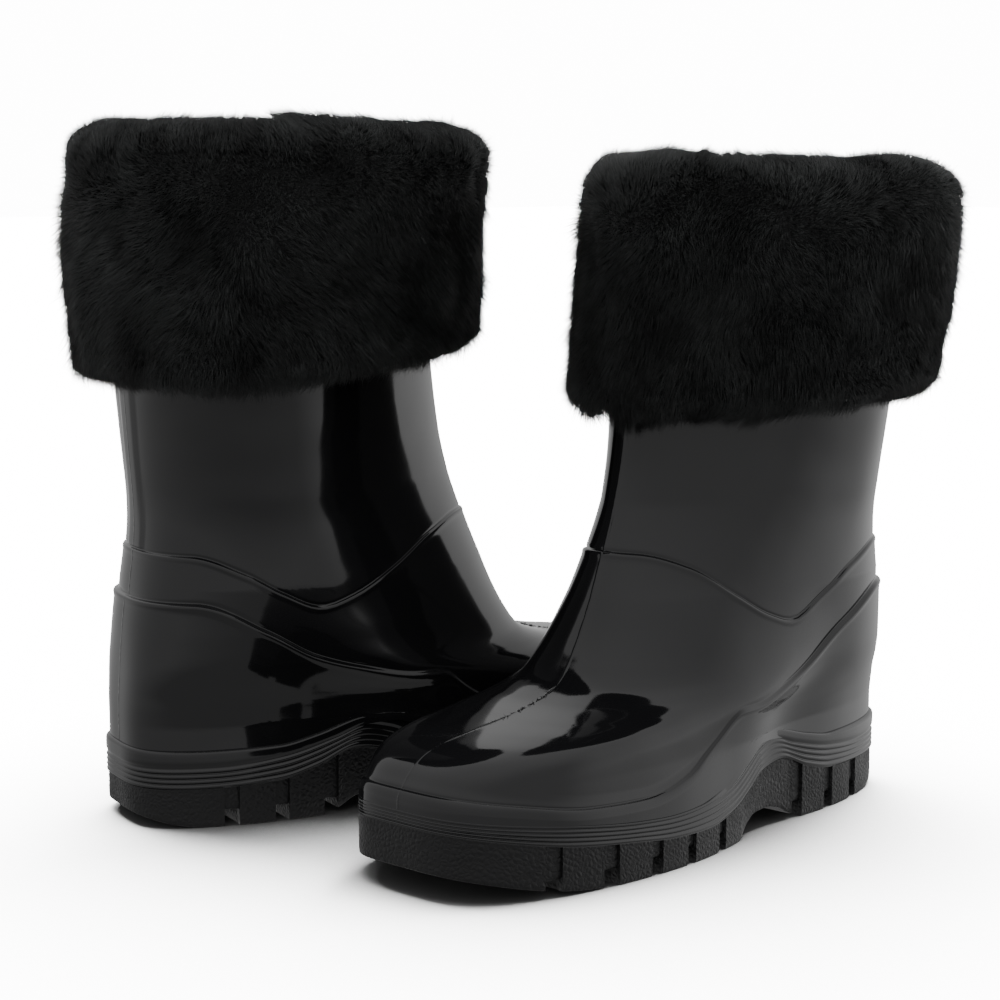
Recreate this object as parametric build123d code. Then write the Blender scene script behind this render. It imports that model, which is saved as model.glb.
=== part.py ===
from build123d import *

import math
import os

# A pair of short PVC wellington boots with turned-down fur cuffs. All sizes are in millimetres.
# Each boot is modelled as a left boot in its own frame: x runs from heel to toe with 0 at the
# back of the heel, y is positive on the outer (lateral) side, and z is up from the floor.
# The right boot is the same boot mirrored. Both are then set down side by side, toes opposed.

# ---- driving dimensions: stance of the pair --------------------------------------------------
HEEL_SPACING_X = 229.5  # between the two heels' reference points
HEEL_SPACING_Y = 94.4
PAIR_SHIFT_Y = 6.913  # brings the middle of the pair over the origin
TOE_OUT = 9.0  # degrees that each boot turns away from the pair's long axis

# ---- driving dimensions: the shell -----------------------------------------------------------
RIM_HEIGHT = 197.0  # top of the PVC shaft
UPPER_WALL = 2.0
LINING_WALL = 1.1
BOND = 0.1  # left between pieces that are glued or moulded together
LINING_GAP = 0.45  # glue line between the shell and the knitted sock
EASE = 0.4  # left round the edges of the board and the footbed
SHAFT_EGG = 0.39  # how much wider the calf side of the shaft is than the shin side
STRAIGHT_HEIGHT = 32.0  # the foot's walls are upright up to here

# ---- driving dimensions: the sole ------------------------------------------------------------
BAND_STEP = 2.4  # tread blocks and welt band, proud of the shell
RECESS_STEP = 1.4  # side wall between two tread blocks
GROOVE_DEPTH = 5.0
GROOVES = [(28.0, 32.5), (44.0, 48.5), (60.5, 65.5), (107.5, 111.5), (124.3, 128.0)]
GROOVES += [(139.5, 144.0), (157.0, 162.5), (176.5, 181.5)]  # start and end of each along x
BOARD = 2.0
FOOTBED = 4.0
FOOTBED_COVER = 1.5
INSERT_INSET = 11.0  # from the shell's outside to the heel insert
INSERT_FRONT = 56.0
INSERT_FLOOR = 6.5

# ---- driving dimensions: the cuff ------------------------------------------------------------
CUFF_BOTTOM = 128.0
OUTER_GAP = 1.8  # between the shaft and the hanging cuff
SLEEVE_GAP = 1.8  # between the lining and the sleeve
FOLD_GAP = 0.5  # between the shaft's rim and the fold that rests over it
BACKING = 1.0
HEM_HEIGHT = 10.0
HEM = 0.8
FUR_EGG = 0.24  # the pile is rounder than the shaft
FUR_OUTSIDE = 9.5  # pile depth
FUR_INSIDE = 8.0
THROAT_FRONT = 12.0  # pile depth inside, at the shin
FUR_TOP = 11.5
FUR_DROP = 3.0  # the pile hangs below the hem
FUR_SHOULDER = 9.0  # rounding of the pile at the fold
FUR_LIP = 5.0  # rounding of the pile at the hem
CUFF_RISE = {"left": 0.0, "right": 10.0}  # the right cuff is turned down higher
FUR_FRONT = {"left": -6.0, "right": 8.0}  # more or less pile at the shin

# Shape stations of the bare shell: (height, value). The lines between them are smoothed.
BACK = [(0, 4.5), (32, 4.5), (48, 5.0), (60, 5.9), (72, 7.4), (95, 9.7), (120, 8.2)]
BACK += [(150, 6.3), (197, 3.6)]
FRONT = [(0, 204.6), (26, 204.6), (31, 204.0), (35, 202.0), (38.5, 198.0), (41, 191.0)]
FRONT += [(43, 179.0), (45, 166.0), (48, 152.0), (52, 142.5), (58, 138.0), (66, 133.7)]
FRONT += [(75, 129.8), (90, 124.0), (105, 119.0), (120, 115.5), (150, 112.0), (197, 110.0)]
HALF_WIDTH = [(0, 39.2), (40, 39.2), (50, 38.4), (60, 37.0), (70, 35.6), (82, 34.3)]
HALF_WIDTH += [(95, 33.9), (110, 35.0), (127, 37.0), (150, 39.6), (180, 42.2), (197, 43.5)]

# Side-view lines: (distance from the heel, height).
TREAD_TOP = [(-8, 13.5), (20, 12.7), (45, 13.5), (58, 16.5), (72, 21.0), (86, 19.0)]
TREAD_TOP += [(100, 11.8), (117, 9.0), (134, 9.7), (150, 11.6), (173, 14.2), (193, 18.0)]
TREAD_TOP += [(214, 22.5)]
BAND_TOP = [(-8, 25.5), (25, 24.2), (45, 25.0), (60, 28.0), (76, 31.5), (86, 31.0)]
BAND_TOP += [(98, 24.0), (114, 18.0), (131, 16.6), (148, 17.3), (173, 20.2), (193, 23.2)]
BAND_TOP += [(214, 26.5)]
FLOOR = [(-8, 11.5), (40, 11.5), (70, 12.5), (100, 9.8), (120, 8.4), (150, 8.8), (180, 11.5)]
FLOOR += [(214, 17.0)]

SLICES = [0, 26, 32, 35, 37.5, 39.5, 41, 42.5, 44, 46, 48.5, 52, 57, 63, 70, 78, 87, 97, 108]
SLICES += [120, 133, 147, 162, 178, 197]
SIDE_POINTS = 13  # points on each side of a slice, between its two tips
BEYOND = 90.0  # reaches past everything


def clamp(value, low=0.0, high=1.0):
    return max(low, min(high, value))


def smooth(stations, at):
    """A monotone cubic through the stations: no overshoot between them."""
    at = clamp(at, stations[0][0], stations[-1][0])
    gaps = [b[0] - a[0] for a, b in zip(stations, stations[1:])]
    slopes = [(b[1] - a[1]) / (b[0] - a[0]) for a, b in zip(stations, stations[1:])]
    tangents = [slopes[0]]
    for before, after in zip(slopes, slopes[1:]):
        agree = before * after > 0
        tangents.append(2 * before * after / (before + after) if agree else 0.0)
    tangents.append(slopes[-1])
    i = max(k for k in range(len(gaps)) if stations[k][0] <= at)
    t = (at - stations[i][0]) / gaps[i]
    start = stations[i][1] * (1 + 2 * t) * (1 - t) ** 2
    end = stations[i + 1][1] * t * t * (3 - 2 * t)
    leave = gaps[i] * tangents[i] * t * (1 - t) ** 2
    arrive = gaps[i] * tangents[i + 1] * t * t * (t - 1)
    return start + end + leave + arrive


def outline(height, back, front, half, egg=SHAFT_EGG):
    """Points round one level slice, from the heel's tip along the outer side and back."""
    foot = clamp(1 - (height - STRAIGHT_HEIGHT) / 44)  # 1 at the sole, 0 above the ankle
    leg = clamp((height - 38) / 66)  # 0 at the foot, 1 in the shaft
    blunt = 0.55 + 0.43 * leg
    waist = 0.22 * foot
    sides = {1: [], -1: []}
    for i in range(SIDE_POINTS + 2):
        angle = math.pi * i / (SIDE_POINTS + 1)
        x = back + (front - back) * (1 - math.cos(angle)) / 2
        share = (x - back) / (front - back)
        hollow = math.exp(-(((share - 0.36) / 0.16) ** 2))
        heel = 0.9 * math.exp(-(((share - 0.08) / 0.20) ** 2))
        width = half * (1 - waist * (hollow + heel)) * (1 + leg * egg * math.cos(angle))
        width *= abs(math.sin(angle)) ** blunt
        toe_in = 5.0 * max(0.0, (x - 93) / 110) ** 2
        mid_in = 3.0 * math.exp(-(((x - 108) / 48) ** 2))
        centre = -foot * (toe_in + mid_in)
        for side in (1, -1):
            sides[side].append((x, centre + side * width))
    return sides[1] + sides[-1][-2:0:-1]


def grown(points, amount):
    """The same outline, moved outward by amount along its own normals."""
    moved = []
    for i, (x, y) in enumerate(points):
        ahead = points[(i + 1) % len(points)]
        behind = points[i - 1]
        dx = ahead[0] - behind[0]
        dy = ahead[1] - behind[1]
        long = math.hypot(dx, dy)
        moved.append((x - amount * dy / long, y + amount * dx / long))
    return moved


def slice_face(points, height):
    """A closed smooth curve through the points, filled, level at height."""
    even = [i / len(points) for i in range(len(points) + 1)]
    places = [(x, y, height) for x, y in points]
    return Face(Wire(Edge.make_spline(places, periodic=True, parameters=even)))


def shell_loft(inset, top=RIM_HEIGHT):
    """The shell's outer form, or the same form inset from the sides and from above."""
    wires = []
    for height in [*SLICES[:-1], top]:
        at = height + inset
        points = outline(at, smooth(BACK, at), smooth(FRONT, at), smooth(HALF_WIDTH, at))
        wires.append(slice_face(grown(points, -inset), height).outer_wire())
    return Solid.make_loft(wires, ruled=True)


def side_region(line, up, above):
    """Everything above, or below, a side-view line moved up, as a solid."""
    edge = Spline(*[(x, 0, z + up) for x, z in line])
    far = BEYOND + RIM_HEIGHT if above else -BEYOND
    first = Vector(line[0][0], 0, far)
    last = Vector(line[-1][0], 0, far)
    corners = Polyline(edge @ 1, last, first, edge @ 0)
    face = Face(Wire([edge, *corners.edges()]))
    return Solid.extrude(face, Vector(0, 2 * BEYOND, 0)).moved(Location((0, -BEYOND, 0)))


def above(line, up=0.0):
    return side_region(line, up, True)


def below(line, up=0.0):
    return side_region(line, up, False)


def block(x, y, z):
    """A box from its three (low, high) pairs."""
    size = [high - low for low, high in (x, y, z)]
    return Solid.make_box(*size).moved(Location((x[0], y[0], z[0])))


def across(low, high, top):
    """A slab right across the sole, from under the ground up to top."""
    return block((low, high), (-BEYOND, BEYOND), (-1, top))


def ground_region():
    """Everything above the sole's underside: heel bevel, arch and toe spring."""
    heel = Spline((-8, 0, 11.5), (6, 0, 4.0), (22, 0, 0))
    flat_heel = Line((22, 0, 0), (61, 0, 0))
    arch = Spline((61, 0, 0), (70, 0, 4.4), (84, 0, 6.6), (94, 0, 4.4), (98, 0, 0))
    flat_ball = Line((98, 0, 0), (154, 0, 0))
    toe = Spline((154, 0, 0), (180, 0, 2.2), (200, 0, 6.8), (214, 0, 11.0))
    top = Polyline((214, 0, 11.0), (214, 0, BEYOND), (-8, 0, BEYOND), (-8, 0, 11.5))
    face = Face(Wire([heel, flat_heel, arch, flat_ball, toe, *top.edges()]))
    return Solid.extrude(face, Vector(0, 2 * BEYOND, 0)).moved(Location((0, -BEYOND, 0)))


def prism(grow, low=0.0, high=34.0):
    """The foot's outline as an upright block."""
    points = outline(0, BACK[0][1], FRONT[0][1], HALF_WIDTH[0][1])
    return Solid.extrude(slice_face(grown(points, grow), low), Vector(0, 0, high - low))


def insert_form(grow):
    """The hollow in the heel, or the block that fills it."""
    form = prism(-INSERT_INSET + grow, INSERT_FLOOR - grow)
    return form & block((0, INSERT_FRONT + grow), (-BEYOND, BEYOND), (0, 40))


def make_outsole():
    """Tread blocks with grooves right across, and the welt band that holds the shell."""
    body = prism(BAND_STEP) & below(BAND_TOP) & ground_region()
    recess = (prism(BAND_STEP + 5, -5) - prism(RECESS_STEP, -5)) & below(TREAD_TOP)
    for low, high in GROOVES:
        body = body - (recess & across(low, high, 40))
        body = body - across(low, high, GROOVE_DEPTH)
    seat = prism(BOND) & above(FLOOR)
    return body - seat - insert_form(BOND)


def make_upper():
    """The moulded PVC shell, from the sole's seat to the rim."""
    return (shell_loft(0.0) & above(FLOOR, BOND)) - shell_loft(UPPER_WALL, RIM_HEIGHT + 4)


def make_lining():
    """The knitted sock bonded inside the shell, standing on the insole board."""
    outer = shell_loft(UPPER_WALL + LINING_GAP, RIM_HEIGHT - 1)
    inner = shell_loft(UPPER_WALL + LINING_GAP + LINING_WALL, RIM_HEIGHT + 4)
    return (outer & above(FLOOR, BOARD + BOND)) - inner


def make_inside():
    """Board, footbed and its cover, stacked on the floor."""
    bed = -(UPPER_WALL + LINING_GAP + LINING_WALL + EASE)
    bed_foot = BOARD + BOND
    bed_top = bed_foot + FOOTBED
    cover_foot = bed_top + BOND / 2
    cover_top = cover_foot + FOOTBED_COVER
    return {
        "insole_board": prism(-UPPER_WALL - EASE) & above(FLOOR, BOND / 2) & below(FLOOR, BOARD),
        "footbed": prism(bed) & above(FLOOR, bed_foot) & below(FLOOR, bed_top),
        "footbed_cover": prism(bed) & above(FLOOR, cover_foot) & below(FLOOR, cover_top),
        "heel_insert": insert_form(0.0) & below(FLOOR, -BOND),
    }


def make_cuff(rise, extra):
    """Fur, its knitted backing folded over the rim, and the tapes at its two hems."""
    bottom = CUFF_BOTTOM + rise
    fold = RIM_HEIGHT + FOLD_GAP + rise
    over = fold + BACKING
    low = bottom - FUR_DROP
    crest = over + FUR_TOP
    back = smooth(BACK, RIM_HEIGHT)
    front = smooth(FRONT, CUFF_BOTTOM)
    half = HALF_WIDTH[-1][1]
    wide = outline(RIM_HEIGHT, back, front, half)
    deep = OUTER_GAP + BACKING + FUR_OUTSIDE
    furry = outline(RIM_HEIGHT, back - deep, front + deep + extra, half + deep, FUR_EGG)
    wall = UPPER_WALL + LINING_WALL + SLEEVE_GAP
    back = smooth(BACK, CUFF_BOTTOM) + wall
    front = smooth(FRONT, RIM_HEIGHT) - wall
    half = smooth(HALF_WIDTH, CUFF_BOTTOM) - wall
    narrow = outline(RIM_HEIGHT, back, front, half)
    deep = BACKING + FUR_INSIDE
    throat = outline(RIM_HEIGHT, back + deep, front - BACKING - THROAT_FRONT, half - deep, FUR_EGG)

    def column(points, grow, start, end):
        return Solid.extrude(slice_face(grown(points, grow), start), Vector(0, 0, end - start))

    outer = OUTER_GAP + BACKING
    around = column(wide, OUTER_GAP, bottom - 9, fold) - column(narrow, 0, bottom - 20, over + 20)
    backing = column(wide, outer, bottom, over) - column(narrow, -BACKING, bottom - 9, over + 9)
    backing = backing - around
    hem_top = bottom + HEM_HEIGHT
    cuff_hem = column(wide, OUTER_GAP, bottom, hem_top)
    cuff_hem = cuff_hem - column(wide, OUTER_GAP - HEM, bottom - 9, hem_top + 9)
    sleeve_hem = column(narrow, HEM, bottom, hem_top)
    sleeve_hem = sleeve_hem - column(narrow, 0, bottom - 9, hem_top + 9)
    pile = column(furry, 0, low, crest)
    pile = pile.fillet(FUR_SHOULDER, pile.faces().sort_by(Axis.Z)[-1].edges())
    pile = pile.fillet(FUR_LIP, pile.faces().sort_by(Axis.Z)[0].edges())
    held = column(wide, outer, low - 9, over) - column(narrow, -BACKING, low - 20, over + 20)
    return {
        "cuff_fur": pile - column(throat, 0, low - 9, crest + 9) - held,
        "cuff_backing": backing,
        "cuff_hem_tape": cuff_hem,
        "sleeve_hem_tape": sleeve_hem,
    }


def place(piece, side):
    """Mirrors the right boot, turns the boot and sets it down beside its fellow."""
    turn = 180 + TOE_OUT
    spot = (HEEL_SPACING_X / 2, PAIR_SHIFT_Y - HEEL_SPACING_Y / 2, 0)
    if side == "right":
        piece = piece.mirror(Plane.XZ)
        turn = -TOE_OUT
        spot = (-HEEL_SPACING_X / 2, PAIR_SHIFT_Y + HEEL_SPACING_Y / 2, 0)
    return piece.moved(Location(spot, (0, 0, turn)))


def write(name, shape, side):
    solids = [place(solid, side) for solid in shape.solids()]
    print(side, name, [round(solid.volume) for solid in solids])
    whole = solids[0] if len(solids) == 1 else Compound(solids)
    export_step(whole, f"parts/{side}_{name}.step")


def main():
    os.makedirs("parts", exist_ok=True)
    shared = {"outsole": make_outsole(), "upper": make_upper(), "knit_lining": make_lining()}
    shared.update(make_inside())
    for side in ("left", "right"):
        for name, piece in {**shared, **make_cuff(CUFF_RISE[side], FUR_FRONT[side])}.items():
            write(name, piece, side)


main()
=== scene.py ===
import math

import bpy
import numpy as np
from mathutils.kdtree import KDTree
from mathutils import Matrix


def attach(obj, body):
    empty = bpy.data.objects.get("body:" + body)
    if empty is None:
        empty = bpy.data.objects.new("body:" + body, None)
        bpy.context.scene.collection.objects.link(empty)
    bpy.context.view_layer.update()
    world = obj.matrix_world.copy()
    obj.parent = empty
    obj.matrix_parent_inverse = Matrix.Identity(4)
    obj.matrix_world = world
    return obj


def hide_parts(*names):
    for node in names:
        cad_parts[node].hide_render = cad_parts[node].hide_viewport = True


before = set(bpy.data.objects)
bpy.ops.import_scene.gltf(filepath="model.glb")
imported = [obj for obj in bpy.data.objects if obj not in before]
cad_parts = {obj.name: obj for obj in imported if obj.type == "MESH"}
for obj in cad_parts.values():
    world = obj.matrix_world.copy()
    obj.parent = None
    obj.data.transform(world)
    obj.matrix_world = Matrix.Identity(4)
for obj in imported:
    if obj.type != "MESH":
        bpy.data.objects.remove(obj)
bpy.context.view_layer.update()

# A pair of short glossy PVC wellingtons with turned-down fur cuffs, dressed over the CAD frame.
# Every boot is built as a left boot in its own frame, in millimetres: x from heel to toe, y to the
# outer side, z up. place() mirrors the right one and sets both down where the CAD has them.

# ---- the same stance and stations as in the CAD ----------------------------------------------
HEEL_SPACING_X = 229.5
HEEL_SPACING_Y = 94.4
PAIR_SHIFT_Y = 6.913
TOE_OUT = 9.0
RIM_HEIGHT = 197.0
CUFF_BOTTOM = 128.0
CUFF_RISE = {"left": 0.0, "right": 10.0}
# how much wider an outline is towards the heel than towards the shin
SHAFT_EGG = 0.39
CLOTH_EGG = 0.36
FUR_EGG = {"left": 0.30, "right": 0.24}
OUTER_GAP = 1.8  # from the shaft's outside out to the hanging cloth
SLEEVE_WALL = 4.9  # from the shaft's outside in to the sleeve
BACKING = 1.0  # the cloth's thickness
HEM_LIFT = 8.5  # the cloth's hem over the pile's lowest level
HEM_HEIGHT = 10.0  # a hem tape's height

BACK = [(0, 4.5), (32, 4.5), (48, 5.0), (60, 5.9), (72, 7.4), (95, 9.7), (120, 8.2),
        (150, 6.3), (197, 3.6)]
FRONT = [(0, 204.6), (26, 204.6), (31, 204.0), (35, 202.0), (38.5, 198.0), (41, 191.0),
         (43, 179.0), (45, 166.0), (48, 152.0), (52, 142.5), (58, 138.0), (66, 133.7),
         (75, 129.8), (90, 124.0), (105, 119.0), (120, 115.5), (150, 112.0), (197, 110.0)]
HALF_WIDTH = [(0, 39.2), (40, 39.2), (50, 38.4), (60, 37.0), (70, 35.6), (82, 34.3),
              (95, 33.9), (110, 35.0), (127, 37.0), (150, 39.6), (180, 42.2), (197, 43.5)]

# ---- side-view lines of the shell and sole: (distance from the heel, height) ------------------
ANKLE_LEDGE = [(-8, 86.5), (5, 86), (20, 86), (37, 80.5), (50, 74), (64, 68.8), (74, 71.5),
               (88, 78.5), (104, 87.5), (119, 92), (140, 92.8)]
COUNTER_LEDGE = [(-8, 70.5), (20, 71.5), (42, 62.5), (60, 53), (74, 48.8), (90, 45.6),
                 (101, 44.5), (112, 37), (126, 28.4), (144, 24.8), (166, 25.6), (190, 29.4),
                 (214, 33.5)]
BAND_TOP = [(-8, 25.5), (25, 24.6), (45, 24.8), (58, 27.0), (74, 31.0), (86, 32.0),
            (98, 26.5), (110, 20.0), (122, 17.2), (134, 16.8), (148, 17.6), (173, 20.5),
            (193, 23.3), (214, 26.5)]
RIDGE_TOP = [(-8, 19.4), (26, 19.0), (47, 21.0), (65, 25.0), (76, 28.0), (84, 26.4),
             (92, 22.6), (103, 18.5), (114, 16.6), (131, 15.6), (148, 16.5), (173, 19.4),
             (193, 22.2), (214, 25.4)]
TREAD_TOP = [(-8, 13.5), (20, 12.4), (45, 13.3), (58, 16.2), (72, 21.0), (82, 19.6),
             (92, 14.5), (104, 10.6), (117, 9.0), (134, 9.7), (150, 11.6), (173, 14.2),
             (193, 18.0), (214, 22.5)]
GROUND = [(-8, 11.5), (-3, 8.4), (6, 3.6), (14, 1.0), (22, 0), (61, 0), (66, 1.9), (72, 4.9),
          (80, 6.5), (86, 6.4), (92, 4.3), (98, 0), (154, 0), (168, 0.6), (180, 2.2),
          (200, 6.8), (214, 11.0)]
FLOOR = [(-8, 11.5), (40, 11.5), (70, 12.5), (100, 9.8), (120, 8.4), (150, 8.8), (180, 11.5),
         (214, 17.0)]
GROOVES = [(28.0, 32.5), (44.0, 48.5), (60.5, 65.5), (107.5, 111.5), (124.3, 128.0),
           (139.5, 144.0), (157.0, 162.5), (176.5, 181.5)]
GROOVE_DEPTH = 5.0
WAIST_PANEL = (66.0, 96.0)  # smooth side of the arch, with no lugs

# ---- how the two boots differ: how the cuffs sit, and where the ankle ledge dips --------------
FUR_FRONT = {"left": -8.5, "right": 12.0}  # the pile's reach forward, beyond an even pile
FUR_BACK = {"left": -3.0, "right": 2.0}  # and how much it falls short of one at the back
CUFF_LEAN = {"left": 0.27, "right": -0.04}  # towards the heel, per unit of height
LEAN_PIVOT = 168.0
CREST = {"left": 13.5, "right": 14.5}  # the pile's top over the rim, besides CUFF_RISE
HIGH_SIDE = {"left": 2.39, "right": 1.07}  # angle round the cuff where it stands highest
HEM_TILT = {"left": -1.5, "right": 3.0}
VALLEY = {"left": 11.0, "right": -6.0}  # the ledges' low point, moved forward
DIP = {"left": 2.5, "right": 0.0}  # and lowered

# ---- the pile: stretches of v along the cuff's skin, and how many hairs -----------------------
LIP_END, WALL_END, FOLD_END, HAIR_END = 0.08, 0.46, 0.62, 0.84
PILE_DEPTH = 12.6
FLARE = 3.4
TUFTS = 1500
UNDERCOAT = (48000, 4)  # strands in a piece, and pieces, on each cuff
GUARD_HAIR = (19000, 2)


def smooth(stations, at):
    """A monotone cubic through the stations, for a whole array at once."""
    xs, ys = np.array(stations, float).T
    at = np.clip(at, xs[0], xs[-1])
    gap = np.diff(xs)
    slope = np.diff(ys) / gap
    total = slope[:-1] + slope[1:]
    agree = slope[:-1] * slope[1:] > 0
    inner = np.where(agree, 2 * slope[:-1] * slope[1:] / np.where(agree, total, 1), 0.0)
    tangent = np.concatenate([slope[:1], inner, slope[-1:]])
    i = np.clip(np.searchsorted(xs, at, side="right") - 1, 0, len(gap) - 1)
    t = (at - xs[i]) / gap[i]
    start = ys[i] * (1 + 2 * t) * (1 - t) ** 2
    end = ys[i + 1] * t * t * (3 - 2 * t)
    leave = gap[i] * tangent[i] * t * (1 - t) ** 2
    arrive = gap[i] * tangent[i + 1] * t * t * (t - 1)
    return start + end + leave + arrive


def step(low, high, value):
    """0 below low, 1 above high, eased between."""
    t = np.clip((value - low) / (high - low), 0, 1)
    return t * t * (3 - 2 * t)


def bell(value, centre, width):
    return np.exp(-(((value - centre) / width) ** 2))


def waves(a, b, seed, terms=9):
    """Smooth periodic noise over angle a and a second coordinate b, about -1 to 1."""
    rng = np.random.default_rng(seed)
    total = np.zeros(np.broadcast(a, b).shape)
    size = 0.0
    for _ in range(terms):
        k = rng.integers(1, 8)
        m = rng.uniform(0.4, 1.6) * rng.choice([-1, 1])
        weight = 1 / (0.6 + 0.25 * k)
        total += weight * np.sin(k * a + m * b + rng.uniform(0, 2 * math.pi))
        size += weight
    return total / size * 1.8


def slice_at(height, turn, back=None, front=None, half=None, egg=SHAFT_EGG):
    """x and y of the level slice at height; turn 0 is the heel's tip, pi the toe's."""
    back = smooth(BACK, height) if back is None else back
    front = smooth(FRONT, height) if front is None else front
    half = smooth(HALF_WIDTH, height) if half is None else half
    foot = np.clip(1 - (height - 32.0) / 44, 0, 1)
    leg = np.clip((height - 38) / 66, 0, 1)
    blunt = 0.55 + 0.43 * leg
    sine = np.abs(np.sin(turn))
    along = np.sign(np.cos(turn)) * np.sqrt(np.clip(1 - sine ** (2 / blunt), 0, 1))
    share = (1 - along) / 2
    x = back + (front - back) * share
    hollow = bell(share, 0.36, 0.16) + 0.9 * bell(share, 0.08, 0.20)
    width = half * (1 - 0.22 * foot * hollow) * (1 + leg * egg * along) * sine
    toe_in = 5.0 * (np.clip(x - 93, 0, None) / 110) ** 2
    centre = -foot * (toe_in + 3.0 * bell(x, 108, 48))
    return x, centre + np.sign(np.sin(turn)) * width


def normals(points, wrap=True):
    """Outward unit normals of a grid of points: rows go up, columns go round."""
    up = np.gradient(points, axis=0)
    if wrap:
        padded = np.concatenate([points[:, -1:], points, points[:, :1]], axis=1)
        around = (padded[:, 2:] - padded[:, :-2]) / 2
    else:
        around = np.gradient(points, axis=1)
    normal = np.cross(up, around)
    return normal / np.maximum(np.linalg.norm(normal, axis=2, keepdims=True), 1e-9)


def grid_faces(rows, columns, wrap=True, first=0):
    """Quads over a grid of vertices, seen from outside."""
    r, c = np.meshgrid(np.arange(rows - 1), np.arange(columns if wrap else columns - 1),
                       indexing="ij")
    c2 = (c + 1) % columns
    quads = np.stack([r * columns + c, (r + 1) * columns + c,
                      (r + 1) * columns + c2, r * columns + c2], axis=-1)
    return quads.reshape(-1, 4) + first


def place(points, side):
    """Local millimetres to the row frame's metres."""
    x, y, z = np.asarray(points, float).reshape(-1, 3).T
    turn = math.radians(180 + TOE_OUT)
    spot = (HEEL_SPACING_X / 2, PAIR_SHIFT_Y - HEEL_SPACING_Y / 2)
    if side == "right":
        y = -y
        turn = math.radians(-TOE_OUT)
        spot = (-HEEL_SPACING_X / 2, PAIR_SHIFT_Y + HEEL_SPACING_Y / 2)
    c, s = math.cos(turn), math.sin(turn)
    return np.stack([c * x - s * y + spot[0], s * x + c * y + spot[1], z], axis=1) / 1000


def piece(name, points, faces, side, body, material, replaces=(), sharp=None):
    """A mesh piece from local points, placed, riding on its body."""
    faces = np.asarray(faces)
    if side == "right":
        faces = faces[:, ::-1]
    verts = place(points, side)
    mesh = bpy.data.meshes.new(f"{side}_{name}")
    mesh.vertices.add(len(verts))
    mesh.vertices.foreach_set("co", verts.astype(np.float32).ravel())
    mesh.loops.add(faces.size)
    mesh.loops.foreach_set("vertex_index", faces.astype(np.int32).ravel())
    mesh.polygons.add(len(faces))
    size = faces.shape[1]
    mesh.polygons.foreach_set("loop_start", np.arange(0, faces.size, size, dtype=np.int32))
    mesh.polygons.foreach_set("use_smooth", np.ones(len(faces), bool))
    mesh.update(calc_edges=True)
    mesh.validate()
    if sharp:
        mesh.set_sharp_from_angle(angle=math.radians(sharp))
    obj = bpy.data.objects.new(f"{side}_{name}", mesh)
    bpy.context.scene.collection.objects.link(obj)
    mesh.materials.append(material)
    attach(obj, f"{side}_{body}")
    if replaces:
        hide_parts(*(f"{side}_{node}" for node in replaces))


# ---- materials --------------------------------------------------------------------------------
def new_material(name, **sockets):
    """A material with its Principled shader's sockets set; returns it, its nodes and shader."""
    material = bpy.data.materials.new(name)
    material.use_nodes = True
    nodes = material.node_tree.nodes
    shader = nodes["Principled BSDF"]
    for socket, value in sockets.items():
        shader.inputs[socket.replace("_", " ")].default_value = value
    return material, nodes, material.node_tree.links, shader


def position(nodes):
    return nodes.new("ShaderNodeTexCoord").outputs["Object"]


def noise(nodes, links, where, scale, detail=2.0, roughness=0.5):
    texture = nodes.new("ShaderNodeTexNoise")
    texture.inputs["Scale"].default_value = scale
    texture.inputs["Detail"].default_value = detail
    texture.inputs["Roughness"].default_value = roughness
    links.new(where, texture.inputs["Vector"])
    return texture.outputs["Fac"]


def ramp(nodes, links, value, low, high, start=0.0, end=1.0):
    """Maps value from start..end to between two colours."""
    mapped = nodes.new("ShaderNodeValToRGB")
    mapped.color_ramp.elements[0].position = start
    mapped.color_ramp.elements[1].position = end
    mapped.color_ramp.elements[0].color = (*low, 1)
    mapped.color_ramp.elements[1].color = (*high, 1)
    links.new(value, mapped.inputs["Fac"])
    return mapped.outputs["Color"]


def ranged(nodes, links, value, low, high, start=0.3, end=0.7, curve="LINEAR"):
    """Maps value from start..end to low..high."""
    mapped = nodes.new("ShaderNodeMapRange")
    mapped.interpolation_type = curve
    mapped.inputs["From Min"].default_value = start
    mapped.inputs["From Max"].default_value = end
    mapped.inputs["To Min"].default_value = low
    mapped.inputs["To Max"].default_value = high
    links.new(value, mapped.inputs["Value"])
    return mapped.outputs["Result"]


def bumps(nodes, links, shader, layers):
    """Stacks bump layers: (height, strength, distance in metres)."""
    before = None
    for height, strength, distance in layers:
        bump = nodes.new("ShaderNodeBump")
        bump.inputs["Strength"].default_value = strength
        bump.inputs["Distance"].default_value = distance
        links.new(height, bump.inputs["Height"])
        if before:
            links.new(before, bump.inputs["Normal"])
        before = bump.outputs["Normal"]
    links.new(before, shader.inputs["Normal"])


def gloss_pvc(name, duller):
    material, nodes, links, shader = new_material(
        name, Base_Color=(0.006, 0.006, 0.007, 1), Roughness=0.06, IOR=1.5)
    where = position(nodes)
    cloud = noise(nodes, links, where, 22, 3)
    links.new(ramp(nodes, links, cloud, (0.006, 0.006, 0.0065), (0.0115, 0.0115, 0.0128)),
              shader.inputs["Base Color"])
    smear = noise(nodes, links, where, 60, 4, 0.6)
    links.new(ranged(nodes, links, smear, 0.045 + duller, 0.10 + duller),
              shader.inputs["Roughness"])
    bumps(nodes, links, shader, [
        (noise(nodes, links, where, 24, 1.5), 0.55, 0.0016),
        (noise(nodes, links, where, 420, 2), 0.02, 0.0002)])
    return material


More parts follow.
